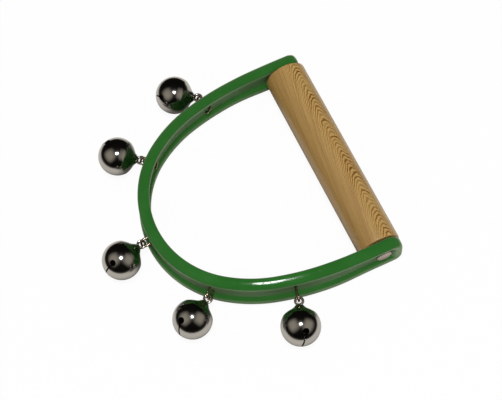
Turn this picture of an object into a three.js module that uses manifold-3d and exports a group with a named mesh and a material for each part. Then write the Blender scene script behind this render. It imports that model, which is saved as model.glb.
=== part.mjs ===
// Jingle ring: a bent plastic strap screwed to a wooden handle, with five bells hooked on wire loops.
// Millimetres, +Z up. The ring lies flat, the handle runs along Y and the bow of the strap points to -X.
import * as THREE from "three";
import { mergeVertices } from "three/addons/utils/BufferGeometryUtils.js";
import Module from "manifold-3d";

const wasm = await Module();
wasm.setup();

const degrees = THREE.MathUtils.degToRad;

// Strap: centre line from the middle of the bow outwards, arcs of falling curvature and a straight arm
const BOW_RADIUS = 56.5;
const SHOULDER_RADIUS = 79;
const FLANK_RADIUS = 154;
const BOW_ARCS = [
  { radius: BOW_RADIUS, angle: degrees(53.2) },
  { radius: SHOULDER_RADIUS, angle: degrees(20.8) },
  { radius: FLANK_RADIUS, angle: degrees(16) },
];
const ARM_TO_HANDLE = 19.1;
const ARM_PAST_HANDLE = 10.3;
const ARM_UNEVEN = 0.9;
const STRAP_STEP = 5.8;

// Strap: a bead runs round its whole edge, with a thin web inside it that rounds into the bead
const BEAD_HALF_WIDTH = 3.44;
const BEAD_HALF_HEIGHT = 2.64;
const BEAD_Z = 8.08;
const BEAD_SIDES = 16;
const WEB_HALF = 1.4;
const WEB_SIDE = [
  [1.1 * WEB_HALF, 0.92 * BEAD_Z],
  [1.75 * WEB_HALF, 0.78 * BEAD_Z],
  [1.5 * WEB_HALF, 0.65 * BEAD_Z],
  [1.23 * WEB_HALF, 0.5 * BEAD_Z],
  [1.06 * WEB_HALF, 0.34 * BEAD_Z],
  [WEB_HALF, 0.2 * BEAD_Z],
];
const ARM_CORNER = 5.4;
const NEAR_UPPER_CORNER = 8.2;
const CORNER_STEPS = 4;

// Strap: in the bow the lower bead stands further out than the upper one; the arms stand upright
const STRAP_LEAN = 0.92;
const LEAN_FULL_TO = 108;
const LEAN_ENDS_AT = 138;

// Handle: a plain dowel between the arms
const HANDLE_RADIUS = 12;
const HANDLE_EDGE = 0.7;
const HANDLE_GAP = 0.2;
const HANDLE_SIDES = 40;

// Handle screws: low pan heads with a slot in flat seats, shanks through the web into the handle
const SCREW_HEAD_RADIUS = 4.4;
const SCREW_HEAD_HEIGHT = 1.7;
const SCREW_SHANK_RADIUS = 1.7;
const SCREW_DEPTH = 22;
const SCREW_SLOT = 0.9;
const SCREW_SEAT = 0.1;
const SCREW_SIDES = 20;

// Clearance round wires and shanks in their holes
const CLEARANCE = 0.3;

// Bells, from the near arm to the far arm: place in pitches along the strap from the middle of the bow, reach
// of the hand-bent loop as a share of LOOP_REACH, and in degrees the slant of the loop's holes, the angle the
// bell lies at from the outward direction, and the turn of its slit
const BELL_PITCH = 45.9;
const LOOP_REACH = 7.3;
const BELLS = [
  { pitches: -2, reach: 1.23, slant: 88, swing: 10, slit: -15.5 },
  { pitches: -1.01, reach: 1.01, slant: 66, swing: 17.9, slit: 12.5 },
  { pitches: -0.03, reach: 0.98, slant: 46, swing: -13.9, slit: -10 },
  { pitches: 1, reach: 1, slant: 46, swing: -8.4, slit: 25.5 },
  { pitches: 2.03, reach: 1.16, slant: 48, swing: -43.4, slit: -35 },
];

// Bell loops: wire through two holes that lie on a slant
const LOOP_HALF = 2.1;
const LOOP_WIRE = 0.68;
const LOOP_BEND = 0.6;
const LOOP_BUTT = 0.25;
const LOOP_STEPS = 24;

// Bell eyes: ring, shank and clinched head; distances along the bell start at the loop's outer end
const EYE_RING = 2.15;
const EYE_WIRE = 0.65;
const EYE_AT = 0.1;
const SHANK_RADIUS = 0.9;
const CLINCH_RADIUS = 1.9;
const CLINCH_THICKNESS = 0.6;

// Bell shells: a thin ball by angles from the mouth's pole, drawn in to a neck by shares of the ball's radius
const BALL_RADIUS = 11;
const SHELL_WALL = 0.6;
const OUTSIDE_ANGLES = [0, 20, 39, 58, 79, 100, 117].map(degrees);
const OUTSIDE_NECK = [
  [-0.627, 0.764],
  [-0.745, 0.6],
  [-0.836, 0.427],
  [-0.9, 0.327],
  [-0.986, 0.245],
];
const INSIDE_NECK = [
  [-0.836, 0.173],
  [-0.755, 0.418],
  [-0.582, 0.682],
];
const INSIDE_ANGLES = [104, 75, 50, 26, 0].map(degrees);
const CAVITY_RADIUS = BALL_RADIUS - SHELL_WALL;
const NECK_END = OUTSIDE_NECK.at(-1)[0] * BALL_RADIUS;
const NECK_INSIDE = INSIDE_NECK[0][0] * BALL_RADIUS;
const BALL_AT = EYE_AT + EYE_RING + EYE_WIRE + CLEARANCE - NECK_END;
const SHELL_SIDES = 18;

// Bell mouths: one slit that ends in two round holes
const SLIT_WIDTH = 0.9;
const SLIT_END_ANGLE = degrees(60);
const SLIT_HOLE_RADIUS = 1.8;

// Pellets: one loose ball in each bell
const PELLET_RADIUS = 3;
const PELLET_DROP = CAVITY_RADIUS - PELLET_RADIUS - CLEARANCE;

const paint = (colour, roughness, metalness) =>
  new THREE.MeshStandardMaterial({ color: colour, roughness, metalness });

// Closed geometry as a solid that can be joined and cut
function solid(geometry) {
  const bare = geometry.index ? geometry.toNonIndexed() : geometry.clone();
  bare.deleteAttribute("normal");
  bare.deleteAttribute("uv");
  const merged = mergeVertices(bare, 1e-4);
  return new wasm.Manifold(
    new wasm.Mesh({
      numProp: 3,
      vertProperties: merged.attributes.position.array,
      triVerts: new Uint32Array(merged.index.array),
    }),
  );
}

// Solid back to geometry
function surface(body) {
  const mesh = body.getMesh();
  const geometry = new THREE.BufferGeometry();
  geometry.setAttribute("position", new THREE.BufferAttribute(mesh.vertProperties, 3));
  geometry.setIndex(new THREE.BufferAttribute(mesh.triVerts, 1));
  geometry.computeVertexNormals();
  return geometry;
}

// Turned piece from [along, radius] pairs, about Y
function turned(profile, sides) {
  const points = profile.map(([along, radius]) => new THREE.Vector2(radius, along));
  return new THREE.LatheGeometry(points, sides);
}

// Round bar from one point to another
function bar(radius, from, to, sides) {
  const axis = to.clone().sub(from);
  const geometry = new THREE.CylinderGeometry(radius, radius, axis.length(), sides);
  const turn = new THREE.Quaternion();
  turn.setFromUnitVectors(new THREE.Vector3(0, 1, 0), axis.clone().normalize());
  geometry.applyQuaternion(turn);
  const middle = from.clone().add(to).multiplyScalar(0.5);
  return geometry.translate(middle.x, middle.y, middle.z);
}

// Strap centre line: lengths and the place of the bow's middle follow from the arcs
const ARC_LENGTH = BOW_ARCS.reduce((sum, arc) => sum + arc.radius * arc.angle, 0);
const HALF_LENGTH = ARC_LENGTH + ARM_TO_HANDLE + ARM_PAST_HANDLE;
const NEAR_END = -HALF_LENGTH - ARM_UNEVEN;
const FAR_END = HALF_LENGTH - ARM_UNEVEN;

// Point and outward direction at a distance along the strap from the middle of the bow
function along(distance) {
  let left = Math.abs(distance);
  let heading = 0;
  let x = 0;
  let y = 0;
  for (const { radius, angle } of BOW_ARCS) {
    const turn = Math.min(left / radius, angle);
    x += radius * (Math.cos(heading) - Math.cos(heading + turn));
    y += radius * (Math.sin(heading + turn) - Math.sin(heading));
    heading += turn;
    left -= radius * turn;
  }
  x += left * Math.sin(heading);
  y += left * Math.cos(heading);
  const side = distance < 0 ? -1 : 1;
  return {
    point: new THREE.Vector3(x, side * y, 0),
    out: new THREE.Vector3(-Math.cos(heading), side * Math.sin(heading), 0),
  };
}

const HANDLE_PLACE = along(ARC_LENGTH + ARM_TO_HANDLE).point;
const ARM_Y = HANDLE_PLACE.y;
const SHIFT = new THREE.Vector3(-HANDLE_PLACE.x, 0, 0);

// Frame of a place on the strap: outward, along and up
function placeOnStrap(distance) {
  const { point, out } = along(distance);
  const up = new THREE.Vector3(0, 0, 1);
  const forward = new THREE.Vector3().crossVectors(out, up);
  return { point: point.clone().add(SHIFT), out, forward, up };
}

// Point of the strap by its distance along, its offset outwards and its height; the bow leans
function onStrap(distance, offset, height) {
  const { point, out } = placeOnStrap(distance);
  const fade = 1 - THREE.MathUtils.smoothstep(Math.abs(distance), LEAN_FULL_TO, LEAN_ENDS_AT);
  const lean = (-0.5 * STRAP_LEAN * fade * height) / BEAD_Z;
  return point.clone().addScaledVector(out, offset + lean).setZ(height);
}

// Skin over rings of points, closed in a loop or with flat ends of the given outline
function skin(rings, outline) {
  const count = rings[0].length;
  const positions = rings.flat().flatMap((place) => [place.x, place.y, place.z]);
  const faces = [];
  const runs = outline ? rings.length - 1 : rings.length;
  for (let ring = 0; ring < runs; ring += 1) {
    const here = ring * count;
    const next = ((ring + 1) % rings.length) * count;
    for (let i = 0; i < count; i += 1) {
      const j = (i + 1) % count;
      faces.push(here + i, here + j, next + i, here + j, next + j, next + i);
    }
  }
  if (outline) {
    const last = (rings.length - 1) * count;
    for (const [a, b, c] of THREE.ShapeUtils.triangulateShape(outline, [])) {
      faces.push(c, b, a);
      faces.push(last + a, last + b, last + c);
    }
  }
  const geometry = new THREE.BufferGeometry();
  geometry.setAttribute("position", new THREE.Float32BufferAttribute(positions, 3));
  geometry.setIndex(faces);
  return geometry;
}

// Distances along the strap up to a distance from its ends, close together in the bow
function strapStations(inset) {
  const arcSteps = 2 * Math.ceil(ARC_LENGTH / STRAP_STEP);
  const stations = [NEAR_END + inset, -LEAN_ENDS_AT];
  for (let i = 0; i <= arcSteps; i += 1) {
    stations.push(ARC_LENGTH * ((2 * i) / arcSteps - 1));
  }
  stations.push(LEAN_ENDS_AT, FAR_END - inset);
  return stations;
}

// Bead: along the upper edge, round the end of one arm, along the lower edge and round the other end
function beadGeometry() {
  const stations = strapStations(NEAR_UPPER_CORNER);
  const path = stations.map((distance) => ({ distance, height: BEAD_Z, turn: 0 }));
  const corner = (radius, end, side, rise, first) => {
    const bend = radius - BEAD_HALF_HEIGHT;
    for (let i = 0; i <= CORNER_STEPS; i += 1) {
      const turn = first + (Math.PI / 2) * (i / CORNER_STEPS);
      const distance = end - side * radius + bend * Math.sin(turn);
      path.push({ distance, height: rise * (BEAD_Z - bend) + bend * Math.cos(turn), turn });
    }
  };
  path.pop();
  corner(ARM_CORNER, FAR_END, 1, 1, 0);
  corner(ARM_CORNER, FAR_END, 1, -1, Math.PI / 2);
  path.push(
    ...stations
      .slice(1, -1)
      .reverse()
      .map((distance) => ({ distance, height: -BEAD_Z, turn: Math.PI })),
  );
  corner(ARM_CORNER, NEAR_END, -1, -1, Math.PI);
  corner(NEAR_UPPER_CORNER, NEAR_END, -1, 1, 1.5 * Math.PI);
  path.pop();
  const rings = path.map(({ distance, height, turn }) =>
    Array.from({ length: BEAD_SIDES }, (_, i) => {
      const angle = (2 * Math.PI * i) / BEAD_SIDES;
      const rise = BEAD_HALF_HEIGHT * Math.sin(angle);
      const offset = BEAD_HALF_WIDTH * Math.cos(angle);
      return onStrap(distance + rise * Math.sin(turn), offset, height + rise * Math.cos(turn));
    }),
  );
  return skin(rings);
}

// Web: a plate inside the bead, thinnest at mid height
function webGeometry() {
  const under = WEB_SIDE.map(([offset, height]) => [offset, -height]);
  const right = [...under, ...WEB_SIDE.toReversed()];
  const section = [...right, ...right.toReversed().map(([offset, height]) => [-offset, height])];
  const stations = strapStations(BEAD_HALF_HEIGHT);
  const rings = stations.map((distance) =>
    section.map(([offset, height]) => onStrap(distance, offset, height)),
  );
  return skin(
    rings,
    section.map(([offset, height]) => new THREE.Vector2(offset, height)),
  );
}

// Strap: bead and web in one piece, with its holes
function strapBody() {
  let body = solid(beadGeometry()).add(solid(webGeometry()));

  // Two slanted holes for each bell loop
  for (const bell of BELLS) {
    const { point, out, slant } = loopFrame(bell);
    for (const q of [-LOOP_HALF, LOOP_HALF]) {
      const middle = point.clone().addScaledVector(slant, q);
      const from = middle.clone().addScaledVector(out, -2 * WEB_HALF);
      const to = middle.clone().addScaledVector(out, 2 * WEB_HALF);
      body = body.subtract(solid(bar(LOOP_WIRE + CLEARANCE + 0.05, from, to, 10)));
    }
  }

  // One hole in each arm for its screw, with a flat seat for the head
  for (const side of [-1, 1]) {
    const from = new THREE.Vector3(0, side * (ARM_Y - 2 * WEB_HALF), 0);
    const seat = new THREE.Vector3(0, side * (ARM_Y + WEB_HALF), 0);
    const to = new THREE.Vector3(0, side * (ARM_Y + 2 * WEB_HALF), 0);
    body = body.subtract(solid(bar(SCREW_SHANK_RADIUS + CLEARANCE, from, to, 16)));
    body = body.subtract(solid(bar(SCREW_HEAD_RADIUS + CLEARANCE, seat, to, SCREW_SIDES)));
  }
  return body;
}

// Handle: dowel with broken edges and a bore for the screw in each end
function handleBody() {
  const half = ARM_Y - BEAD_HALF_WIDTH - HANDLE_GAP;
  const inner = HANDLE_RADIUS - HANDLE_EDGE;
  const profile = [
    [-half, 0],
    [-half, inner],
    [HANDLE_EDGE - half, HANDLE_RADIUS],
    [half - HANDLE_EDGE, HANDLE_RADIUS],
    [half, inner],
    [half, 0],
  ];
  let body = solid(turned(profile, HANDLE_SIDES));
  const deep = ARM_Y + WEB_HALF - SCREW_DEPTH - 2 * CLEARANCE;
  for (const side of [-1, 1]) {
    const from = new THREE.Vector3(0, side * deep, 0);
    const to = new THREE.Vector3(0, side * (half + 1), 0);
    body = body.subtract(solid(bar(SCREW_SHANK_RADIUS + CLEARANCE, from, to, 16)));
  }
  return body;
}

// Screw: pointed shank, domed head and slot, head upwards along Y from its seat
function screwBody() {
  const profile = [
    [-SCREW_DEPTH, 0],
    [-SCREW_DEPTH + 4, SCREW_SHANK_RADIUS],
    [0, SCREW_SHANK_RADIUS],
    [0, SCREW_HEAD_RADIUS],
    [0.3 * SCREW_HEAD_HEIGHT, SCREW_HEAD_RADIUS],
    [0.66 * SCREW_HEAD_HEIGHT, 0.9 * SCREW_HEAD_RADIUS],
    [0.92 * SCREW_HEAD_HEIGHT, 0.6 * SCREW_HEAD_RADIUS],
    [SCREW_HEAD_HEIGHT, 0],
  ];
  const slot = new THREE.BoxGeometry(3 * SCREW_HEAD_RADIUS, SCREW_HEAD_HEIGHT, SCREW_SLOT);
  slot.translate(0, SCREW_HEAD_HEIGHT, 0);
  return solid(turned(profile, SCREW_SIDES)).subtract(solid(slot));
}

// Frame of a bell loop: outwards and along the slant
function loopFrame(bell) {
  const { point, out, forward, up } = placeOnStrap(bell.pitches * BELL_PITCH);
  const slant = forward.clone().multiplyScalar(Math.cos(degrees(bell.slant)));
  slant.addScaledVector(up, Math.sin(degrees(bell.slant)));
  return { point, out, slant };
}

// Bell loop: wire out through one hole, round and back through the other, its ends butting inside
function loopGeometry(bell) {
  const { point, out, slant } = loopFrame(bell);
  const back = -(WEB_HALF + CLEARANCE + LOOP_WIRE);
  const round = bell.reach * LOOP_REACH - LOOP_HALF;
  const bend = LOOP_BEND;
  const flat = new THREE.Path();
  flat.moveTo(back, -LOOP_BUTT);
  flat.lineTo(back, bend - LOOP_HALF);
  flat.quadraticCurveTo(back, -LOOP_HALF, back + bend, -LOOP_HALF);
  flat.lineTo(round, -LOOP_HALF);
  flat.absarc(round, 0, LOOP_HALF, -Math.PI / 2, Math.PI / 2, false);
  flat.lineTo(back + bend, LOOP_HALF);
  flat.quadraticCurveTo(back, LOOP_HALF, back, LOOP_HALF - bend);
  flat.lineTo(back, LOOP_BUTT);
  const places = flat.getSpacedPoints(LOOP_STEPS).map((p) => {
    const spot = point.clone().addScaledVector(out, p.x);
    return spot.addScaledVector(slant, p.y);
  });
  const wire = new THREE.Shape();
  wire.absarc(0, 0, LOOP_WIRE, 0, 2 * Math.PI, false);
  return new THREE.ExtrudeGeometry(wire, {
    steps: LOOP_STEPS,
    curveSegments: 4,
    extrudePath: new THREE.CatmullRomCurve3(places),
  });
}

// Bell eye: ring, shank through the neck and clinched head inside, +Y towards the mouth
function eyeBody() {
  const ring = new THREE.TorusGeometry(EYE_RING, EYE_WIRE, 6, 14);
  ring.translate(0, EYE_AT, 0);
  const start = new THREE.Vector3(0, EYE_AT + EYE_RING, 0);
  const inside = BALL_AT + NECK_INSIDE + CLEARANCE;
  const seat = new THREE.Vector3(0, inside, 0);
  const end = new THREE.Vector3(0, inside + CLINCH_THICKNESS, 0);
  const shank = bar(SHANK_RADIUS, start, end, 10);
  const clinch = bar(CLINCH_RADIUS, seat, end, 14);
  return solid(ring).add(solid(shank)).add(solid(clinch));
}

// Bell shell: hollow ball with a bored neck, one slit and its two round holes, +Y towards the mouth
function shellBody(slitTurn) {
  const bore = SHANK_RADIUS + CLEARANCE;
  const neck = [
    [NECK_END, bore],
    [NECK_INSIDE, bore],
  ];
  const arc = (radius) => (angle) => [radius * Math.cos(angle), radius * Math.sin(angle)];
  const share = ([back, radius]) => [back * BALL_RADIUS, radius * BALL_RADIUS];
  const outside = [...OUTSIDE_ANGLES.map(arc(BALL_RADIUS)), ...OUTSIDE_NECK.map(share)];
  const inside = [...INSIDE_NECK.map(share), ...INSIDE_ANGLES.map(arc(CAVITY_RADIUS))];
  const profile = [...outside, ...neck, ...inside].reverse();
  let body = solid(turned(profile, SHELL_SIDES));
  const slitFrom = BALL_RADIUS * Math.cos(SLIT_END_ANGLE);
  const slitDeep = BALL_RADIUS + 1 - slitFrom;
  const slit = new THREE.BoxGeometry(SLIT_WIDTH, slitDeep, 2 * BALL_RADIUS);
  slit.translate(0, slitFrom + slitDeep / 2, 0);
  slit.rotateY(slitTurn);
  body = body.subtract(solid(slit));
  for (const turn of [slitTurn, slitTurn + Math.PI]) {
    const aim = new THREE.Vector3(0, Math.cos(SLIT_END_ANGLE), Math.sin(SLIT_END_ANGLE));
    aim.applyAxisAngle(new THREE.Vector3(0, 1, 0), turn);
    const from = aim.clone().multiplyScalar(0.7 * BALL_RADIUS);
    const to = aim.clone().multiplyScalar(1.2 * BALL_RADIUS);
    body = body.subtract(solid(bar(SLIT_HOLE_RADIUS, from, to, 10)));
  }
  return body.translate([0, BALL_AT, 0]);
}

// Bells lie on the table like the handle, so each one dips a little from its loop
const BELL_DIP = Math.asin((HANDLE_RADIUS - BALL_RADIUS) / BALL_AT);

// Placement of a bell: +Y from its loop towards the mouth
function bellPlacement({ pitches, reach, swing: swingDegrees }) {
  const { point, out, forward, up } = placeOnStrap(pitches * BELL_PITCH);
  const swing = degrees(swingDegrees);
  const level = out.clone().multiplyScalar(Math.cos(swing));
  level.addScaledVector(forward, Math.sin(swing));
  const axis = level.clone().multiplyScalar(Math.cos(BELL_DIP)).addScaledVector(up, -Math.sin(BELL_DIP));
  const top = level.clone().multiplyScalar(Math.sin(BELL_DIP)).addScaledVector(up, Math.cos(BELL_DIP));
  const across = new THREE.Vector3().crossVectors(axis, top);
  const pivot = point.clone().addScaledVector(out, reach * LOOP_REACH);
  return new THREE.Matrix4().makeBasis(across, axis, top).setPosition(pivot);
}

const ring = new THREE.Group();

function addPiece(name, geometry, material, placement) {
  const mesh = new THREE.Mesh(geometry, material);
  mesh.name = name;
  if (placement) mesh.applyMatrix4(placement);
  ring.add(mesh);
}

addPiece("strap", surface(strapBody()), paint(0x226a2a, 0.25, 0));
addPiece("handle", surface(handleBody()), paint(0xb08a55, 0.6, 0));

for (const [name, side] of [["screw_near", -1], ["screw_far", 1]]) {
  const seat = new THREE.Matrix4().makeTranslation(0, side * (ARM_Y + WEB_HALF + SCREW_SEAT), 0);
  const turn = new THREE.Matrix4().makeRotationZ(side < 0 ? Math.PI : 0);
  addPiece(name, surface(screwBody()), paint(0xb4aa9a, 0.4, 1), seat.multiply(turn));
}

BELLS.forEach((bell, i) => {
  const number = i + 1;
  const placement = bellPlacement(bell);
  addPiece("bell_loop_" + number, loopGeometry(bell), paint(0xc8b08c, 0.3, 1));
  addPiece("bell_eye_" + number, surface(eyeBody()), paint(0xb9b4ab, 0.2, 1), placement);
  addPiece("bell_shell_" + number, surface(shellBody(degrees(bell.slit))), paint(0xc6c4c0, 0.1, 1), placement);
  const pellet = new THREE.SphereGeometry(PELLET_RADIUS, 10, 7);
  pellet.translate(0, BALL_AT, -PELLET_DROP);
  addPiece("bell_pellet_" + number, pellet, paint(0x77777a, 0.4, 1), placement);
});

// Origin under the middle of the ring, on the table
const box = new THREE.Box3().setFromObject(ring, true);
const middle = box.getCenter(new THREE.Vector3());
ring.position.set(-middle.x, -middle.y, -box.min.z);

const jingleRing = new THREE.Group();
jingleRing.add(ring);

export default jingleRing;
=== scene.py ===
"""Looks of the jingle ring: a glossy green strap on a wooden dowel, with bright bells on wire loops."""

import math

import bpy
import numpy as np
from mathutils import Matrix, Vector


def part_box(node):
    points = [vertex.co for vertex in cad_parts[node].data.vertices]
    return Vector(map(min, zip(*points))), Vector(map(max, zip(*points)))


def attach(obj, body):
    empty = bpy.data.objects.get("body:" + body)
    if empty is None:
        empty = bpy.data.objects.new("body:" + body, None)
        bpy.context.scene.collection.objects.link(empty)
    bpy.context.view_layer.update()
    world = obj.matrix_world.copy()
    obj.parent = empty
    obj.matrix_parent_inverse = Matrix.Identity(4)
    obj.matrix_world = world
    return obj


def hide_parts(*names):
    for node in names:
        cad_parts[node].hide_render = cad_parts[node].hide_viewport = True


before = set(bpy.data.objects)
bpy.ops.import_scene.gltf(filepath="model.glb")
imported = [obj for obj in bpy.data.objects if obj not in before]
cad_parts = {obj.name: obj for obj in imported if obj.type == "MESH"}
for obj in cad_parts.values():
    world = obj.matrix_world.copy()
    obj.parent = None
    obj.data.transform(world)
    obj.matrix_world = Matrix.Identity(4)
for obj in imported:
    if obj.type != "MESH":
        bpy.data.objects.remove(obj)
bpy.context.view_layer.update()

# Sizes in metres, as in the solids but for the eyes, the screw heads' height and the fifth slit
MM = 0.001
HANDLE_RADIUS = 12 * MM
handle_low, handle_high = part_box("handle")
HANDLE_CENTRE = (handle_low + handle_high) / 2

# Strap: radius and angle of each arc from the middle of the bow outwards, then the straight arms
BOW_ARCS = [(56.5 * MM, math.radians(53.2)), (79 * MM, math.radians(20.8)), (154 * MM, math.radians(16))]
ARM_TO_HANDLE = 19.1 * MM
ARM_PAST_HANDLE = 10.3 * MM
ARM_UNEVEN = 0.9 * MM
ARM_CORNER = 5.4 * MM
NEAR_UPPER_CORNER = 8.2 * MM
BEAD_HALF_HEIGHT = 2.64 * MM
BEAD_Z = 8.08 * MM
WEB_HALF = 1.4 * MM
STRAP_LEAN = 0.92 * MM
LEAN_FULL_TO = 108 * MM
LEAN_ENDS_AT = 138 * MM

# Screws
SCREW_HEAD_RADIUS = 4.4 * MM
SCREW_HEAD_HEIGHT = 1.65 * MM
SCREW_SHANK_RADIUS = 1.7 * MM
SCREW_DEPTH = 22 * MM
SCREW_SEAT = 0.1 * MM

# Loops and eyes
LOOP_HALF = 2.1 * MM
LOOP_WIRE = 0.68 * MM
LOOP_REACH = 7.3 * MM
LOOP_BACK = -2.38 * MM
EYE_RING = 2.05 * MM
EYE_WIRE = 0.75 * MM
EYE_AT = 0.1 * MM

# Bells: places in pitches from the middle of the bow, share of the loop's reach, and angles in degrees
BALL_RADIUS = 11 * MM
SHELL_WALL = 0.6 * MM
BALL_AT = 14.046 * MM
BELL_DIP = math.asin((HANDLE_RADIUS - BALL_RADIUS) / BALL_AT)
SLIT_WIDTH = 0.9 * MM
SLIT_END_ANGLE = math.radians(60)
SLIT_HOLE_RADIUS = 1.8 * MM
PELLET_RADIUS = 3 * MM
PELLET_DROP = 7.1 * MM
BELL_PITCH = 45.9 * MM
BELLS = [
    {"pitches": -2, "reach": 1.23, "slant": 88, "swing": 10, "slit": -15.5},
    {"pitches": -1.01, "reach": 1.01, "slant": 66, "swing": 17.9, "slit": 12.5},
    {"pitches": -0.03, "reach": 0.98, "slant": 46, "swing": -13.9, "slit": -10},
    {"pitches": 1, "reach": 1.0, "slant": 46, "swing": -8.4, "slit": 25.5},
    {"pitches": 2.03, "reach": 1.16, "slant": 48, "swing": -43.4, "slit": -39},
]


# Strap centre line

ARC_LENGTH = sum(radius * angle for radius, angle in BOW_ARCS)
SCREW_ON_LINE = ARC_LENGTH + ARM_TO_HANDLE
HALF_LENGTH = SCREW_ON_LINE + ARM_PAST_HANDLE
NEAR_END = -HALF_LENGTH - ARM_UNEVEN
FAR_END = HALF_LENGTH - ARM_UNEVEN
UP = Vector((0, 0, 1))


def bow_line(distance):
    """Point and outward direction at a distance from the middle of the bow, before it is put in place."""
    left = abs(distance)
    heading = x = y = 0.0
    for radius, angle in BOW_ARCS:
        turn = min(left / radius, angle)
        x += radius * (math.cos(heading) - math.cos(heading + turn))
        y += radius * (math.sin(heading + turn) - math.sin(heading))
        heading += turn
        left -= radius * turn
    x += left * math.sin(heading)
    y += left * math.cos(heading)
    side = -1 if distance < 0 else 1
    return Vector((x, side * y, 0)), Vector((-math.cos(heading), side * math.sin(heading), 0))


HANDLE_ON_LINE = bow_line(SCREW_ON_LINE)[0]


def strap_place(distance):
    """Point, outward direction and forward direction at a place on the strap, in the part's frame."""
    point, out = bow_line(distance)
    point = point + HANDLE_CENTRE - Vector((HANDLE_ON_LINE.x, 0, 0))
    return point, out, out.cross(UP)


# Mesh helpers


def mesh_from(name, vertices, edges=(), faces=()):
    """Mesh from plain lists."""
    mesh = bpy.data.meshes.new(name)
    mesh.from_pydata([tuple(v) for v in vertices], list(edges), list(faces))
    mesh.update()
    return mesh


def scene_object(name, data):
    """A new object in the scene, at the origin."""
    made = bpy.data.objects.new(name, data)
    bpy.context.scene.collection.objects.link(made)
    return made


def evaluated_mesh(made, name):
    """Plain mesh of an object with its modifiers applied."""
    bpy.context.view_layer.update()
    graph = bpy.context.evaluated_depsgraph_get()
    mesh = bpy.data.meshes.new_from_object(made.evaluated_get(graph), depsgraph=graph)
    mesh.name = name
    return mesh


def smooth(mesh, angle):
    """Smooth shading that keeps edges sharper than an angle in degrees."""
    mesh.shade_smooth()
    mesh.set_sharp_from_angle(angle=math.radians(angle))
    return mesh


def placed(mesh, placement, angle):
    """Smooth copy of a mesh in its place."""
    copy = mesh.copy()
    copy.transform(placement)
    return smooth(copy, angle)


def outward_faces(mesh):
    """Turns all faces round where the mesh is inside out."""
    co = np.empty(len(mesh.vertices) * 3)
    mesh.vertices.foreach_get("co", co)
    co = co.reshape(-1, 3) - co.reshape(-1, 3).mean(0)
    mesh.calc_loop_triangles()
    tri = np.empty(len(mesh.loop_triangles) * 3, dtype=np.int32)
    mesh.loop_triangles.foreach_get("vertices", tri)
    a, b, c = (co[tri.reshape(-1, 3)[:, i]] for i in range(3))
    if np.einsum("ij,ij->i", a, np.cross(b, c)).sum() < 0:
        mesh.flip_normals()
    return mesh


def quarter_turn(steps):
    """Angles of a quarter turn in even steps, with both ends."""
    return [math.pi / 2 * i / steps for i in range(steps + 1)]


def lathe(name, profile, sides):
    """Turned solid about Y from (along, radius) pairs that start and end on the axis."""
    vertices = []
    faces = []
    rings = []
    for along, radius in profile:
        if radius < 1e-9:
            rings.append([len(vertices)])
            vertices.append((0, along, 0))
            continue
        ring = []
        for i in range(sides):
            turn = 2 * math.pi * i / sides
            ring.append(len(vertices))
            vertices.append((radius * math.sin(turn), along, radius * math.cos(turn)))
        rings.append(ring)
    for low, high in zip(rings, rings[1:]):
        for i in range(sides):
            j = (i + 1) % sides
            if len(low) == 1:
                faces.append((low[0], high[j], high[i]))
            elif len(high) == 1:
                faces.append((low[i], low[j], high[0]))
            else:
                faces.append((low[i], low[j], high[j], high[i]))
    return outward_faces(mesh_from(name, vertices, faces=faces))


def curve_through(points, steps):
    """Smooth curve through points, evenly stepped between each two."""
    pts = [np.array(p, float) for p in points]
    pts = [2 * pts[0] - pts[1]] + pts + [2 * pts[-1] - pts[-2]]
    made = []
    for a, b, c, d in zip(pts, pts[1:], pts[2:], pts[3:]):
        for i in range(steps):
            t = i / steps
            made.append(0.5 * (2 * b + (c - a) * t + (2 * a - 5 * b + 4 * c - d) * t * t
                               + (3 * b - a - 3 * c + d) * t ** 3))
    made.append(pts[-2])
    return [tuple(p) for p in made]


def bar(name, radius, start, end, sides):
    """Round bar between two points."""
    axis = end - start
    mesh = lathe(name, [(0, 0), (0, radius), (axis.length, radius), (axis.length, 0)], sides)
    turn = Vector((0, 1, 0)).rotation_difference(axis).to_matrix().to_4x4()
    mesh.transform(Matrix.Translation(start) @ turn)
    return mesh


def block(name, low, high):
    """Box between its lowest and highest corners."""
    corners = [(x, y, z) for x in (low[0], high[0]) for y in (low[1], high[1]) for z in (low[2], high[2])]
    faces = [(0, 1, 3, 2), (4, 6, 7, 5), (0, 4, 5, 1), (2, 3, 7, 6), (0, 2, 6, 4), (1, 5, 7, 3)]
    return outward_faces(mesh_from(name, corners, faces=faces))


def joined(name, meshes):
    """One mesh of several that don't touch."""
    vertices = []
    faces = []
    for mesh in meshes:
        first = len(vertices)
        vertices += [v.co.copy() for v in mesh.vertices]
        faces += [tuple(first + i for i in face.vertices) for face in mesh.polygons]
    return mesh_from(name, vertices, faces=faces)


def carved(mesh, cutters):
    """The mesh with each cutter taken away from it."""
    body = scene_object("carving", mesh)
    tools = [scene_object("cutter", cutter) for cutter in cutters]
    for tool in tools:
        change = body.modifiers.new("carve", "BOOLEAN")
        change.operation = "DIFFERENCE"
        change.solver = "EXACT"
        change.object = tool
    result = evaluated_mesh(body, mesh.name)
    for helper in tools + [body]:
        bpy.data.objects.remove(helper)
    return result


def piece(name, mesh, body, slot, material, *nodes):
    """A finished piece at the origin that rides on a body and stands for CAD nodes."""
    made = scene_object(name, mesh)
    mesh.materials.clear()
    mesh.materials.append(material)
    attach(made, body)
    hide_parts(*nodes)


# Node helpers

COLUMN_WIDTH = 220
ROW_HEIGHT = 260


def feed(tree, socket, value):
    """Links an output to a socket, or sets a plain value on it."""
    if isinstance(value, bpy.types.NodeSocket):
        tree.links.new(value, socket)
    else:
        socket.default_value = value


def add(tree, kind, values=None, **settings):
    """A node with its settings, and what its sockets get, by name or number."""
    made = tree.nodes.new(kind)
    for key, value in settings.items():
        setattr(made, key, value)
    for key, value in (values or {}).items():
        feed(tree, made.inputs[key], value)
    return made


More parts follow.
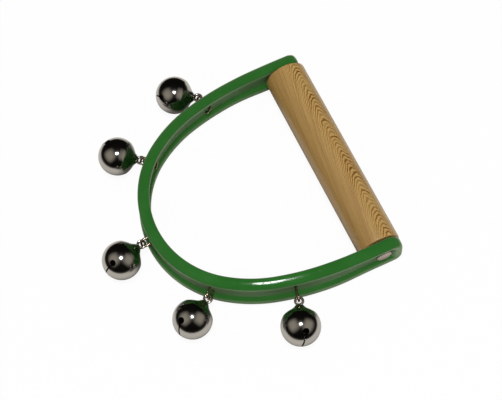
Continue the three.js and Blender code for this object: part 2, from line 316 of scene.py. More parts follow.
def lay_out(tree):
    """Puts the nodes in columns by their steps from the last one, so that the tree reads left to right."""
    steps = {node.name: 0 for node in tree.nodes}
    for _ in tree.nodes:
        for link in tree.links:
            before = link.from_node.name
            steps[before] = max(steps[before], steps[link.to_node.name] + 1)
    rows = dict.fromkeys(steps.values(), 0)
    for node in tree.nodes:
        column = steps[node.name]
        node.location = (-COLUMN_WIDTH * column, -ROW_HEIGHT * rows[column])
        rows[column] += 1


def maths(tree, operation, *values):
    """Result of one operation on outputs or numbers."""
    return add(tree, "ShaderNodeMath", dict(enumerate(values)), operation=operation).outputs[0]


def vector_maths(tree, operation, *values):
    """Vector from one operation on outputs or vectors."""
    return add(tree, "ShaderNodeVectorMath", dict(enumerate(values)), operation=operation).outputs[0]


def map_range(tree, value, low, high, first=0.0, last=1.0, easing="LINEAR"):
    """Value that goes from first to last as another goes from low to high."""
    limits = {"Value": value, "From Min": low, "From Max": high, "To Min": first, "To Max": last}
    return add(tree, "ShaderNodeMapRange", limits, interpolation_type=easing).outputs[0]


def blend_value(tree, mask, low, high):
    """Value that goes from low to high as a mask goes from 0 to 1."""
    return map_range(tree, mask, 0.0, 1.0, low, high)


def blend_colour(tree, mask, first, second):
    """Colour between two colours or outputs by a mask."""
    return add(tree, "ShaderNodeMix", {0: mask, 6: first, 7: second}, data_type="RGBA").outputs[2]


def mix_shaders(tree, share, first, second):
    """Shader between two others by a share of the second."""
    return add(tree, "ShaderNodeMixShader", {0: share, 1: first, 2: second}).outputs[0]


def mapped(tree, where, **change):
    """Coordinates moved, turned or scaled."""
    return add(tree, "ShaderNodeMapping", {"Vector": where, **change}).outputs[0]


def noise(tree, where, scale, detail, roughness=0.5):
    """Cloudy noise between 0 and 1."""
    values = {"Vector": where, "Scale": scale, "Detail": detail, "Roughness": roughness}
    return add(tree, "ShaderNodeTexNoise", values).outputs["Fac"]


def bumped(tree, height, strength, distance):
    """Normal of a surface that a height makes uneven."""
    values = {"Height": height, "Strength": strength, "Distance": distance}
    return add(tree, "ShaderNodeBump", values).outputs[0]


# Geometry node trees


def geometry_tree(name, sockets):
    """Geometry node tree with named inputs: the tree, the inputs' identifiers and their outputs inside."""
    tree = bpy.data.node_groups.new(name, "GeometryNodeTree")
    tree.interface.new_socket("Geometry", in_out="INPUT", socket_type="NodeSocketGeometry")
    ids = {}
    for label, kind in sockets:
        socket = tree.interface.new_socket(label, in_out="INPUT", socket_type="NodeSocket" + kind)
        ids[label] = socket.identifier
    tree.interface.new_socket("Geometry", in_out="OUTPUT", socket_type="NodeSocketGeometry")
    return tree, ids, add(tree, "NodeGroupInput").outputs


def end_tree(tree, start, geometry):
    """Ends a geometry node tree with real geometry in its finish."""
    real = add(tree, "GeometryNodeRealizeInstances", {"Geometry": geometry}).outputs["Geometry"]
    finish = add(tree, "GeometryNodeSetMaterial", {"Geometry": real, "Material": start["Finish"]})
    add(tree, "NodeGroupOutput", {"Geometry": finish.outputs["Geometry"]})
    lay_out(tree)


def run_tree(tree, ids, mesh, values, name):
    """Mesh that a geometry node tree makes from another."""
    made = scene_object(name, mesh)
    change = made.modifiers.new("make", "NODES")
    change.node_group = tree
    for label, value in values.items():
        change[ids[label]] = value
    result = evaluated_mesh(made, name)
    made.modifiers.remove(change)
    bpy.data.objects.remove(made)
    return result


def bow_tree():
    """Wraps a flat strap, laid out as length, thickness and height, on the bow line with the bow's lean."""
    tree, ids, start = geometry_tree("bow_wrap", [
        ("Bow line", "Object"), ("Near length", "Float"), ("Lean", "Float"),
        ("Lean full to", "Float"), ("Lean ends at", "Float"), ("Finish", "Material"),
    ])
    position = add(tree, "GeometryNodeInputPosition").outputs[0]
    flat = add(tree, "ShaderNodeSeparateXYZ", {0: position}).outputs
    line = add(tree, "GeometryNodeObjectInfo", {"Object": start["Bow line"]}).outputs["Geometry"]
    bow = add(tree, "GeometryNodeMeshToCurve", {"Mesh": line}).outputs["Curve"]
    reach = maths(tree, "ADD", flat["X"], start["Near length"])
    spot = add(tree, "GeometryNodeSampleCurve", {"Curves": bow, "Length": reach},
               mode="LENGTH", use_all_curves=True).outputs
    across = vector_maths(tree, "CROSS_PRODUCT", (0, 0, 1), spot["Tangent"])
    outward = vector_maths(tree, "NORMALIZE", across)
    along = maths(tree, "ABSOLUTE", flat["X"])
    fade = map_range(tree, along, start["Lean full to"], start["Lean ends at"], 1.0, 0.0, "SMOOTHSTEP")
    lean = maths(tree, "MULTIPLY", maths(tree, "MULTIPLY", flat["Z"], start["Lean"]), fade)
    thick = maths(tree, "ADD", lean, flat["Y"])
    push = add(tree, "ShaderNodeVectorMath", {0: outward, "Scale": thick}, operation="SCALE").outputs[0]
    rise = add(tree, "ShaderNodeCombineXYZ", {"Z": flat["Z"]}).outputs[0]
    goal = vector_maths(tree, "ADD", spot["Position"], vector_maths(tree, "ADD", push, rise))
    wrap = add(tree, "GeometryNodeSetPosition", {"Geometry": start["Geometry"], "Position": goal})
    end_tree(tree, start, wrap.outputs["Geometry"])
    return tree, ids


def wire_tree():
    """Round wire along each chain of edges."""
    tree, ids, start = geometry_tree("drawn_wire", [
        ("Wire radius", "Float"), ("Sides", "Int"), ("Finish", "Material"),
    ])
    path = add(tree, "GeometryNodeMeshToCurve", {"Mesh": start["Geometry"]}).outputs["Curve"]
    ring = add(tree, "GeometryNodeCurvePrimitiveCircle",
               {"Resolution": start["Sides"], "Radius": start["Wire radius"]}).outputs["Curve"]
    skin = add(tree, "GeometryNodeCurveToMesh", {"Curve": path, "Profile Curve": ring, "Fill Caps": True})
    end_tree(tree, start, skin.outputs["Mesh"])
    return tree, ids


def chain(name, points, closed=False):
    """Mesh of edges through points."""
    count = len(points)
    edges = [(i, i + 1) for i in range(count - 1)]
    if closed:
        edges.append((count - 1, 0))
    return mesh_from(name, points, edges)


# Marks that more than one finish uses

SCRATCH_TURNS = (0.4, 1.7, 2.6)


def handling_marks():
    """Group with hairline scratches, smudges and dust specks as masks over the surface."""
    tree = bpy.data.node_groups.new("handling_marks", "ShaderNodeTree")
    tree.interface.new_socket("Vector", in_out="INPUT", socket_type="NodeSocketVector")
    for label in ("Scratch scale", "Smudge scale", "Speck scale"):
        tree.interface.new_socket(label, in_out="INPUT", socket_type="NodeSocketFloat")
    for label in ("Scratches", "Smudges", "Specks"):
        tree.interface.new_socket(label, in_out="OUTPUT", socket_type="NodeSocketFloat")
    start = add(tree, "NodeGroupInput").outputs
    hairs = []
    for i, turn in enumerate(SCRATCH_TURNS):
        drawn_out = mapped(tree, start["Vector"],
                           Rotation=(0.3 * i, turn, 1.1 * turn), Scale=(1.0, 0.03, 1.0))
        streaks = noise(tree, drawn_out, start["Scratch scale"], detail=2.0, roughness=0.6)
        hairs.append(map_range(tree, streaks, 0.66, 0.74))
    scratches = maths(tree, "MAXIMUM", maths(tree, "MAXIMUM", hairs[0], hairs[1]), hairs[2])
    cloud = noise(tree, start["Vector"], start["Smudge scale"], detail=4.0, roughness=0.62)
    smudges = map_range(tree, cloud, 0.45, 0.72)
    dots = add(tree, "ShaderNodeTexVoronoi", {"Vector": start["Vector"], "Scale": start["Speck scale"]})
    specks = map_range(tree, dots.outputs["Distance"], 0.16, 0.07)
    settled = maths(tree, "MULTIPLY", specks, smudges)
    add(tree, "NodeGroupOutput", {"Scratches": scratches, "Smudges": smudges, "Specks": settled})
    lay_out(tree)
    return tree


MARKS = handling_marks()


def marks_in(tree, where, scratch, smudge, speck):
    """The marks in a material, each at its own scale."""
    values = {"Vector": where, "Scratch scale": scratch, "Smudge scale": smudge, "Speck scale": speck}
    return add(tree, "ShaderNodeGroup", values, node_tree=MARKS).outputs


# Materials


def srgb(red, green, blue):
    """Scene colour of a display colour in 0 to 255."""
    def one(value):
        """One of the three shares."""
        share = value / 255
        return share / 12.92 if share <= 0.04045 else ((share + 0.055) / 1.055) ** 2.4
    return (one(red), one(green), one(blue), 1)


def new_material(name, values):
    """Material with plain values on its shader, and the object's own coordinates."""
    material = bpy.data.materials.new(name)
    material.use_nodes = True
    tree = material.node_tree
    shader = tree.nodes["Principled BSDF"]
    for label, value in values.items():
        shader.inputs[label].default_value = value
    return material, tree, shader, add(tree, "ShaderNodeTexCoord").outputs["Object"]


def dress(tree, shader, colour, roughness, normal):
    """Gives the shader what varies over the surface."""
    feed(tree, shader.inputs["Base Color"], colour)
    feed(tree, shader.inputs["Roughness"], roughness)
    feed(tree, shader.inputs["Normal"], normal)
    lay_out(tree)


def green_plastic():
    """Glossy moulded green with faint clouding, hairlines and a soft orange-peel surface."""
    material, tree, shader, where = new_material("glossy_green_plastic", {
        "Base Color": srgb(38, 100, 37), "Roughness": 0.12, "Specular IOR Level": 0.12,
        "Sheen Weight": 0.32, "Sheen Roughness": 0.5, "Sheen Tint": (1, 0.94, 0.76, 1),
    })
    marks = marks_in(tree, where, scratch=500, smudge=45, speck=700)
    tone = blend_colour(tree, marks["Smudges"], srgb(38, 102, 36), srgb(44, 109, 42))
    dusty = blend_value(tree, marks["Specks"], 0.0, 0.35)
    worn = blend_value(tree, marks["Scratches"], 0.08, 0.24)
    cloudy = blend_value(tree, marks["Smudges"], 0.0, 0.05)
    peel = noise(tree, where, scale=260.0, detail=2.0)
    dress(tree, shader,
          colour=blend_colour(tree, dusty, tone, srgb(120, 150, 115)),
          roughness=maths(tree, "ADD", worn, cloudy),
          normal=bumped(tree, peel, strength=0.05, distance=0.4 * MM))
    return material


# Growth rings of the dowel: spacing, how far they wander, and the pith's place and turns about the dowel
RING_SPACING = 0.3 * MM
RING_WANDER = 0.42 * MM
PITH_AWAY = 80 * MM
PITH_TURN = math.radians(-26)
PITH_TILT = math.radians(-6)
# Darkness of one ring from its early to its late wood, as (share of the ring, tone)
EARLY_TONE = 0.05
LATE_TONES = [(0.36, 0.1), (0.6, 0.85), (0.82, 1.0), (0.93, 0.4)]
# The browner heart with painted shade on the dowel's -X side, from its full share to none across the dowel
HEART_AND_SHADE_SHARE = 0.32
HEART_AND_SHADE_FULL_AT = -11 * MM
HEART_AND_SHADE_ENDS_AT = 1 * MM


def ring_tones(tree, rings):
    """Darkness of the growth rings, each year of its own strength."""
    late = add(tree, "ShaderNodeValToRGB", {0: maths(tree, "FRACT", rings)})
    stops = late.color_ramp.elements
    for stop in stops:
        stop.color = (EARLY_TONE, EARLY_TONE, EARLY_TONE, 1)
    for at, tone in LATE_TONES:
        stops.new(at).color = (tone, tone, tone, 1)
    year = maths(tree, "FLOOR", rings)
    strong = add(tree, "ShaderNodeTexWhiteNoise", {"W": year}, noise_dimensions="1D").outputs["Value"]
    return maths(tree, "MULTIPLY", late.outputs["Color"], blend_value(tree, strong, 0.6, 1.15))


def dowel_wood():
    """Softwood under thin lacquer: fine growth rings about a tilted pith, arched where they are cut flat."""
    material, tree, shader, where = new_material("lacquered_dowel_wood", {
        "Base Color": srgb(160, 127, 76), "Roughness": 0.42, "Coat Weight": 0.3, "Coat Roughness": 0.13,
    })
    local = mapped(tree, where, Location=tuple(-HANDLE_CENTRE))
    flow = mapped(tree, local, Scale=(1.0, 0.45, 1.0))
    wander = noise(tree, flow, scale=210.0, detail=4.0, roughness=0.62)
    drift = blend_value(tree, wander, -RING_WANDER, RING_WANDER)
    turned = mapped(tree, local, Rotation=(0, PITH_TURN, 0))
    tilted = mapped(tree, turned, Rotation=(PITH_TILT, 0, 0), Location=(0, 0, PITH_AWAY))
    level = vector_maths(tree, "MULTIPLY", tilted, (1, 0, 1))
    away = add(tree, "ShaderNodeVectorMath", {0: level}, operation="LENGTH").outputs["Value"]
    rings = maths(tree, "MULTIPLY", maths(tree, "ADD", away, drift), 1 / RING_SPACING)
    dark = ring_tones(tree, rings)
    drawn_out = mapped(tree, local, Scale=(1.0, 0.03, 1.0))
    grain = noise(tree, drawn_out, scale=1100.0, detail=3.0, roughness=0.6)
    broad = noise(tree, drawn_out, scale=160.0, detail=2.0)
    warm = blend_value(tree, broad, -0.4, 1.4)
    pale = blend_colour(tree, warm, srgb(212, 178, 110), srgb(195, 160, 92))
    streak = blend_value(tree, grain, -0.25, 0.65)
    fibre = blend_colour(tree, streak, pale, srgb(172, 136, 72))
    across = add(tree, "ShaderNodeSeparateXYZ", {0: local}).outputs["X"]
    # Browner heartwood tone together with painted shade, darkest on the dowel's -X side and fading out
    # across it
    heart_and_shade = map_range(tree, across, HEART_AND_SHADE_FULL_AT, HEART_AND_SHADE_ENDS_AT, HEART_AND_SHADE_SHARE, 0.0)
    toned = blend_colour(tree, heart_and_shade, fibre, srgb(126, 96, 42))
    dress(tree, shader,
          colour=blend_colour(tree, dark, toned, srgb(126, 74, 18)),
          roughness=blend_value(tree, grain, 0.34, 0.52),
          normal=bumped(tree, grain, strength=0.15, distance=0.2 * MM))
    return material


STAIN_TONE = 0.72


def bright_metal(name, colour, roughness, worn, dents):
    """Plated metal with smudges, hairlines and slight unevenness."""
    plain = (*colour, 1)
    material, tree, shader, where = new_material(name, {
        "Base Color": plain, "Roughness": roughness, "Metallic": 1.0,
    })
    marks = marks_in(tree, where, scratch=700, smudge=90, speck=1200)
    dull = (*(STAIN_TONE * share for share in colour), 1)
    stain = blend_value(tree, marks["Specks"], 0.0, 0.6)
    lines = blend_value(tree, marks["Scratches"], roughness, roughness + worn)
    haze = blend_value(tree, marks["Smudges"], 0.0, worn)
    wave = noise(tree, where, scale=130.0, detail=1.0)
    dress(tree, shader,
          colour=blend_colour(tree, stain, plain, dull),
          roughness=maths(tree, "ADD", lines, haze),
          normal=bumped(tree, wave, strength=dents, distance=0.6 * MM))
    return material


GREEN = green_plastic()
WOOD = dowel_wood()
NICKEL = bright_metal("bright_nickel_plate", (0.41, 0.395, 0.37), roughness=0.12, worn=0.04, dents=0.05)
EYE_METAL = bright_metal("nickel_wire", (0.42, 0.39, 0.34), roughness=0.16, worn=0.1, dents=0.1)
LOOP_METAL = bright_metal("warm_drawn_wire", (0.38, 0.30, 0.21), roughness=0.17, worn=0.1, dents=0.1)
SCREW_METAL = bright_metal("zinc_plate", (0.52, 0.46, 0.40), roughness=0.42, worn=0.12, dents=0.06)
SHOT_STEEL = bright_metal("plain_steel", (0.35, 0.35, 0.36), roughness=0.4, worn=0.2, dents=0.3)


# Strap

# Rims: inset from the edge and offset from mid thickness in mm, from the crest over a side to the web
UPPER_OUTSIDE = [(0, -1.5), (0.1, -0.6), (0.32, 0.3), (0.59, 1.2), (0.98, 2.1),
                 (1.55, 2.88), (2.2, 3.32), (2.75, 3.44)]
LOWER_OUTSIDE = [(0, -1.5), (0.02, 0.4), (0.15, 1.7), (0.5, 2.65), (1.1, 3.2),
                 (1.9, 3.38), (2.7, 3.44), (3.5, 3.43)]
UPPER_INSIDE = [(0, 1.5), (0.13, 2.1), (0.45, 2.7), (1.0, 3.15), (1.8, 3.4), (2.64, 3.44)]
LOWER_INSIDE = [(0, 1.5), (0.13, 2.2), (0.45, 2.8), (1.0, 3.2), (1.8, 3.4), (2.8, 3.44)]
UPPER_HOLLOW = [(3.4, 3.33), (4.12, 2.95), (4.92, 2.45), (5.72, 1.98),
                (6.52, 1.67), (7.52, 1.47), (8.72, 1.4)]
LOWER_HOLLOW = [(4.4, 3.36), (5.2, 3.08), (5.9, 2.6), (6.5, 2.12),
                (7.1, 1.72), (7.8, 1.49), (8.72, 1.4)]
CREST = -1.5 * MM
RIM_LIMIT = 3.32 * MM
RIM_STEPS = 3
# Columns along the strap, which stop short of the arm ends, and steps round the corners and down each end
COLUMNS = 251
ARM_END_LENGTH = 10 * MM
CORNER_STEPS = 10
END_STEPS = 8
END_POINTS = 2 * CORNER_STEPS + END_STEPS - 1
# Smallest radius of a corner, and points on the line that the strap is wrapped on
LEAST_BEND = 0.15 * MM
BOW_STATIONS = 1201
# Room round the wire and the screws, and the seats of the screw heads
LOOP_HOLE_ROOM = 0.35 * MM
SCREW_ROOM = 0.3 * MM
SEAT_LEVEL = 1.01 * WEB_HALF
SEAT_TOP = 4 * MM


def rim_profiles(side):
    """Insets and thicknesses of the upper and the lower rim over one side of the strap."""
    shapes = []
    for outside, inside, hollow in ((UPPER_OUTSIDE, UPPER_INSIDE, UPPER_HOLLOW),
                                    (LOWER_OUTSIDE, LOWER_INSIDE, LOWER_HOLLOW)):
        points = (outside if side > 0 else inside) + hollow
        curve = curve_through([(inset * MM, thick * MM) for inset, thick in points], RIM_STEPS)
        shapes.append([(inset, min(thick, RIM_LIMIT)) for inset, thick in curve])
    return shapes


def flat_ring(inset, columns):
    """Loop at one inset from the edge: upper run, far end, lower run, near end, as (length, height)."""
    high = BEAD_Z + BEAD_HALF_HEIGHT - inset

    def corner(radius, end, side, rise):
        """Points round one corner, from the run along the strap to the run down its end."""
        bend = max(radius - inset, LEAST_BEND)
        at = end - side * (inset + bend)
        level = rise * (high - bend)
        turns = quarter_turn(CORNER_STEPS)[1:]
        return [(at + side * bend * math.sin(a), level + rise * bend * math.cos(a)) for a in turns]

    def arm_end(end, side, rise, radius, next_radius):
        """Points of one arm end, with both its corners."""
        leaving = corner(radius, end, side, rise)
        coming = corner(next_radius, end, side, -rise)[::-1]
        at, first = leaving[-1]
        last = coming[0][1]
        between = [(at, first + (last - first) * i / END_STEPS) for i in range(1, END_STEPS)]
        return leaving + between + coming

    ring = [(s, high) for s in columns]
    ring += arm_end(FAR_END, 1, 1, ARM_CORNER, ARM_CORNER)
    ring += [(s, -high) for s in reversed(columns)]
    ring += arm_end(NEAR_END, -1, -1, ARM_CORNER, NEAR_UPPER_CORNER)
    return ring


def flat_strap():
    """Strap laid flat: X along it, Y its thickness, Z its height, a bead all round and a web inside."""
    columns = list(np.linspace(NEAR_END + ARM_END_LENGTH, FAR_END - ARM_END_LENGTH, COLUMNS))
    vertices = []
    faces = []

    def put(points, thicks):
        """Adds points at their thicknesses, and gives their numbers."""
        first = len(vertices)
        vertices.extend((s, thick, z) for (s, z), thick in zip(points, thicks))
        return list(range(first, len(vertices)))

    # Share of the upper rim's shape at each point of a ring, which changes round the two upper corners
    fall = [max(0.0, 1 - (i + 1) / (CORNER_STEPS + 1)) for i in range(END_POINTS)]
    upper_share = [1.0] * COLUMNS + fall + [0.0] * COLUMNS + fall[::-1]
    edge = put(flat_ring(0, columns), [CREST] * len(upper_share))
    count = len(edge)
    under_starts = COLUMNS + END_POINTS
    near_starts = under_starts + COLUMNS
    for side in (1, -1):
        upper_rim, lower_rim = rim_profiles(side)
        low = BEAD_Z + BEAD_HALF_HEIGHT - upper_rim[-1][0]
        made = []
        outer = edge
        for (high_inset, high_thick), (low_inset, low_thick) in zip(upper_rim[1:], lower_rim[1:]):
            rings = zip(flat_ring(high_inset, columns), flat_ring(low_inset, columns), upper_share)
            points = [(a[0] * w + b[0] * (1 - w), a[1] * w + b[1] * (1 - w)) for a, b, w in rings]
            inner = put(points, [side * (high_thick * w + low_thick * (1 - w)) for w in upper_share])
            for i in range(count):
                j = (i + 1) % count
                made.append((outer[i], outer[j], inner[j], inner[i]))
            outer = inner
        upper = outer[:COLUMNS]
        far = outer[COLUMNS:under_starts]
        under = outer[under_starts:near_starts][::-1]
        near = outer[near_starts:]
        rows = [upper]
        for share in (0.5, 0, -0.5):
            rows.append(put([(s, share * low) for s in columns], [side * WEB_HALF] * COLUMNS))
        rows.append(under)
        for above, below in zip(rows, rows[1:]):
            made += [(above[i], above[i + 1], below[i + 1], below[i]) for i in range(COLUMNS - 1)]
        made.append(tuple([upper[-1]] + far + [row[-1] for row in reversed(rows[1:])]))
        made.append(tuple([under[0]] + near + [row[0] for row in rows[:-1]]))
        faces += made if side > 0 else [tuple(reversed(face)) for face in made]
    return outward_faces(mesh_from("flat_strap", vertices, faces=faces))


def flat_holes():
    """Pairs of slanted holes for the bell loops, and one hole in each arm for its screw."""
    cutters = []
    reach = Vector((0, 3 * WEB_HALF, 0))
    for bell in BELLS:
        slant = math.radians(bell["slant"])
        for q in (-LOOP_HALF, LOOP_HALF):
            middle = Vector((bell["pitches"] * BELL_PITCH + q * math.cos(slant), 0, q * math.sin(slant)))
            radius = LOOP_WIRE + LOOP_HOLE_ROOM
            cutters.append(bar("loop_hole", radius, middle - reach, middle + reach, sides=28))
    for side in (-1, 1):
        middle = Vector((side * SCREW_ON_LINE, 0, 0))
        radius = SCREW_SHANK_RADIUS + SCREW_ROOM
        cutters.append(bar("screw_hole", radius, middle - reach, middle + reach, sides=32))
    return joined("strap_holes", cutters)


def flat_seats():
    """Flat seats for the screw heads on the outside of the arms."""
    cutters = []
    for side in (-1, 1):
        low = Vector((side * SCREW_ON_LINE, SEAT_LEVEL, 0))
        high = Vector((side * SCREW_ON_LINE, SEAT_TOP, 0))
        cutters.append(bar("screw_seat", SCREW_HEAD_RADIUS + SCREW_ROOM, low, high, sides=48))
    return joined("screw_seats", cutters)


def strap_mesh():
    """Flat strap with its holes and seats, wrapped on the bow line."""
    tree, ids = bow_tree()
    flat = carved(flat_strap(), [flat_holes(), flat_seats()])
    stations = np.linspace(NEAR_END, FAR_END, BOW_STATIONS)
    line = scene_object("bow_line", chain("bow_line", [strap_place(s)[0] for s in stations]))
    mesh = run_tree(tree, ids, flat, {
        "Bow line": line, "Near length": -NEAR_END, "Lean": -0.5 * STRAP_LEAN / BEAD_Z,
        "Lean full to": LEAN_FULL_TO, "Lean ends at": LEAN_ENDS_AT, "Finish": GREEN,
    }, "strap")
    bpy.data.objects.remove(line)
    return outward_faces(mesh)


piece("green_strap", smooth(strap_mesh(), angle=45), "ring", "strap_plastic", GREEN, "strap")


# Handle

DOWEL_EDGE = 0.7 * MM
DOWEL_STEPS = 40


def dowel_mesh():
    """Plain dowel with eased ends, made from one end to the middle and mirrored."""
    half = (handle_high.y - handle_low.y) / 2
    profile = [(-half, 0)]
    for share in np.linspace(0.2, 0.9, 4):
        profile.append((-half, share * HANDLE_RADIUS))
    start = -half + DOWEL_EDGE
    flank = HANDLE_RADIUS - DOWEL_EDGE
    for turn in quarter_turn(steps=6):
        profile.append((start - DOWEL_EDGE * math.cos(turn), flank + DOWEL_EDGE * math.sin(turn)))
    for i in range(1, DOWEL_STEPS // 2):
        profile.append((start + (2 * half - 2 * DOWEL_EDGE) * i / DOWEL_STEPS, HANDLE_RADIUS))
    back = [(-along, radius) for along, radius in reversed(profile)]
    mesh = lathe("dowel", profile + back, sides=144)
    mesh.transform(Matrix.Translation(HANDLE_CENTRE))
    return mesh


piece("wooden_dowel", smooth(dowel_mesh(), angle=60), "ring", "handle_wood", WOOD, "handle")


# Handle screws

SCREW_TIP = 4 * MM
SHANK_ENDS_AT = -0.02 * MM
# Edge of the head: its height, how far it is eased below, and the share of the height where the dome starts
HEAD_EDGE = 0.1 * MM
HEAD_EASED = 0.97
DOME_FROM = 0.3
# Driver slot, which is cut past the head on both sides and above
SLOT_FLOOR = 0.75 * SCREW_HEAD_HEIGHT
SLOT_HALF_WIDTH = 0.3 * MM
SLOT_HALF_LENGTH = 6 * MM
SLOT_TOP = 4 * MM


def screw_mesh():
    """Pointed shank and low domed head with a driver slot, head towards +Y."""
    shank = [(-SCREW_DEPTH, 0), (-SCREW_DEPTH + SCREW_TIP, SCREW_SHANK_RADIUS),
             (SHANK_ENDS_AT, SCREW_SHANK_RADIUS)]
    edge = [(0, SCREW_HEAD_RADIUS * HEAD_EASED), (HEAD_EDGE, SCREW_HEAD_RADIUS)]
    dome = []
    for turn in quarter_turn(steps=15)[:-1]:
        along = SCREW_HEAD_HEIGHT * (DOME_FROM + (1 - DOME_FROM) * math.sin(turn))
        dome.append((along, SCREW_HEAD_RADIUS * math.cos(turn)))
    mesh = lathe("screw", shank + edge + dome + [(SCREW_HEAD_HEIGHT, 0)], sides=64)
    slot = block("slot", (-SLOT_HALF_LENGTH, SLOT_FLOOR, -SLOT_HALF_WIDTH),
                 (SLOT_HALF_LENGTH, SLOT_TOP, SLOT_HALF_WIDTH))
    return carved(mesh, [slot])


screw = screw_mesh()
for name, side in (("near", -1), ("far", 1)):
    seat = HANDLE_CENTRE + Vector((0, side * (HANDLE_ON_LINE.y + WEB_HALF + SCREW_SEAT), 0))
    turn = Matrix.Rotation(math.pi if side < 0 else 0, 4, "Z")
    mesh = placed(screw, Matrix.Translation(seat) @ turn, angle=35)
    piece("pan_screw_" + name, mesh, "ring", "screw_metal", SCREW_METAL, "screw_" + name)


# Bell loops

LOOP_BEND = 0.6 * MM
LOOP_GAP_HALF = 0.25 * MM
LEG_STEPS = 12
ROUND_STEPS = 32
WIRE_SIDES = 20
WIRE_TREE, WIRE_IDS = wire_tree()


def loop_path(bell):
    """Run of one loop: from its gap behind the web through one hole, round, and back through the other."""
    round_at = bell["reach"] * LOOP_REACH - LOOP_HALF
    bend_at = LOOP_BACK + LOOP_BEND
    leg = [(LOOP_BACK, -LOOP_GAP_HALF)]
    for turn in quarter_turn(steps=8):
        aside = -LOOP_HALF + LOOP_BEND - LOOP_BEND * math.sin(turn)
        leg.append((bend_at - LOOP_BEND * math.cos(turn), aside))
    for i in range(1, LEG_STEPS):
        leg.append((bend_at + (round_at - LOOP_BACK - LOOP_BEND) * i / LEG_STEPS, -LOOP_HALF))
    bow = []
    for i in range(ROUND_STEPS + 1):
        turn = -math.pi / 2 + math.pi * i / ROUND_STEPS
        bow.append((round_at + LOOP_HALF * math.cos(turn), LOOP_HALF * math.sin(turn)))
    other_leg = [(r, -q) for r, q in reversed(leg)]
    point, out, forward = strap_place(bell["pitches"] * BELL_PITCH)
    slant = math.radians(bell["slant"])
    across = forward * math.cos(slant) + UP * math.sin(slant)
    return [point + out * r + across * q for r, q in leg + bow + other_leg]


def drawn_wire(name, mesh, radius, material):
    """Round wire along the edges of a mesh."""
    sizes = {"Wire radius": radius, "Sides": WIRE_SIDES, "Finish": material}
    return outward_faces(run_tree(WIRE_TREE, WIRE_IDS, mesh, sizes, name))


def all_loops():
    """Lines of all the loops in one mesh of edges."""
    points = []
    edges = []
    for bell in BELLS:
        path = loop_path(bell)
        first = len(points)
        points += path
        edges += [(first + i, first + i + 1) for i in range(len(path) - 1)]
    return mesh_from("loop_lines", points, edges)


loops = drawn_wire("loops", all_loops(), LOOP_WIRE, LOOP_METAL)
loop_nodes = ["bell_loop_%d" % number for number in range(1, len(BELLS) + 1)]
piece("bell_loops", smooth(loops, angle=50), "ring", "loop_wire", LOOP_METAL, *loop_nodes)


# Bells

# The smooth ball is a little smaller, so that it stays inside the box of the faceted one
BALL_SHRINK = 0.08 * MM
# Neck outside and inside, as shares of the ball's radius along its axis and from it
NECK = [(-0.54, 0.842), (-0.627, 0.764), (-0.745, 0.607), (-0.836, 0.452), (-0.91, 0.338),
        (-0.986, 0.262), (-1.04, 0.215), (-1.075, 0.16)]
NECK_TIP = -1.09
NECK_HOLLOW = [(-0.582, 0.682), (-0.755, 0.418), (-0.836, 0)]
# Angles from the mouth at which ball and hollow pass into the neck, in degrees
BALL_ENDS_AT = 112
HOLLOW_ENDS_AT = 110
# Reach of the cutters for the holes at the slit's ends, in shares of the ball's radius
SLIT_HOLE_FROM = 0.7
SLIT_HOLE_TO = 1.3
# Pellet without its ridge, the ridge's height and its width in radians
PELLET_BODY = 0.985
RIDGE_HEIGHT = 0.012
RIDGE_WIDTH = 0.06


def bell_placement(bell):
    """+Y from the loop towards the mouth, +Z up."""
    point, out, forward = strap_place(bell["pitches"] * BELL_PITCH)
    swing = math.radians(bell["swing"])
    level = out * math.cos(swing) + forward * math.sin(swing)
    axis = level * math.cos(BELL_DIP) - UP * math.sin(BELL_DIP)
    top = level * math.sin(BELL_DIP) + UP * math.cos(BELL_DIP)
    across = axis.cross(top)
    pivot = point + out * bell["reach"] * LOOP_REACH
    turn = Matrix((across, axis, top)).transposed().to_4x4()
    return Matrix.Translation(pivot) @ turn


def ball_arc(radius, end, count):
    """Profile of a ball from its pole to an angle in degrees."""
    turns = [math.radians(a) for a in np.linspace(0, end, count)[1:]]
    return [(radius, 0)] + [(radius * math.cos(t), radius * math.sin(t)) for t in turns]


def shell_mesh():
    """Hollow ball with a drawn neck and one slit with round ends, mouth towards +Y."""
    radius = BALL_RADIUS - BALL_SHRINK
    ball = ball_arc(radius, BALL_ENDS_AT, count=57)
    neck = curve_through([ball[-1]] + [(radius * along, radius * away) for along, away in NECK], steps=5)
    outside = ball + neck[1:] + [(NECK_TIP * radius, 0)]
    inside = ball_arc(radius - SHELL_WALL, HOLLOW_ENDS_AT, count=36)
    inside += [(radius * along, radius * away) for along, away in NECK_HOLLOW]
    far = 2 * radius
    slit_floor = radius * math.cos(SLIT_END_ANGLE)
    cutters = [
        lathe("hollow", inside, sides=72),
        block("slit", (-SLIT_WIDTH / 2, slit_floor, -far), (SLIT_WIDTH / 2, far, far)),
    ]
    for side in (-1, 1):
        aim = Vector((0, math.cos(SLIT_END_ANGLE), side * math.sin(SLIT_END_ANGLE)))
        start = aim * SLIT_HOLE_FROM * radius
        end = aim * SLIT_HOLE_TO * radius
        cutters.append(bar("slit_end", SLIT_HOLE_RADIUS, start, end, sides=40))
    return carved(lathe("shell", outside, sides=120), cutters)


def eye_mesh():
    """Wire ring at the neck."""
    ring = [(EYE_RING * math.sin(t), EYE_AT - EYE_RING * math.cos(t), 0)
            for t in np.linspace(0, 2 * math.pi, 64, endpoint=False)]
    return drawn_wire("eye", chain("eye_line", ring, closed=True), EYE_WIRE, EYE_METAL)


def pellet_mesh():
    """Cast shot with a faint ridge round its middle."""
    radius = PELLET_BODY * PELLET_RADIUS
    profile = [(radius, 0)]
    for turn in np.linspace(0, math.pi, 33)[1:-1]:
        ridge = 1 + RIDGE_HEIGHT * math.exp(-((turn - math.pi / 2) / RIDGE_WIDTH) ** 2)
        profile.append((radius * ridge * math.cos(turn), radius * ridge * math.sin(turn)))
    profile.append((-radius, 0))
    return lathe("pellet", profile, sides=48)


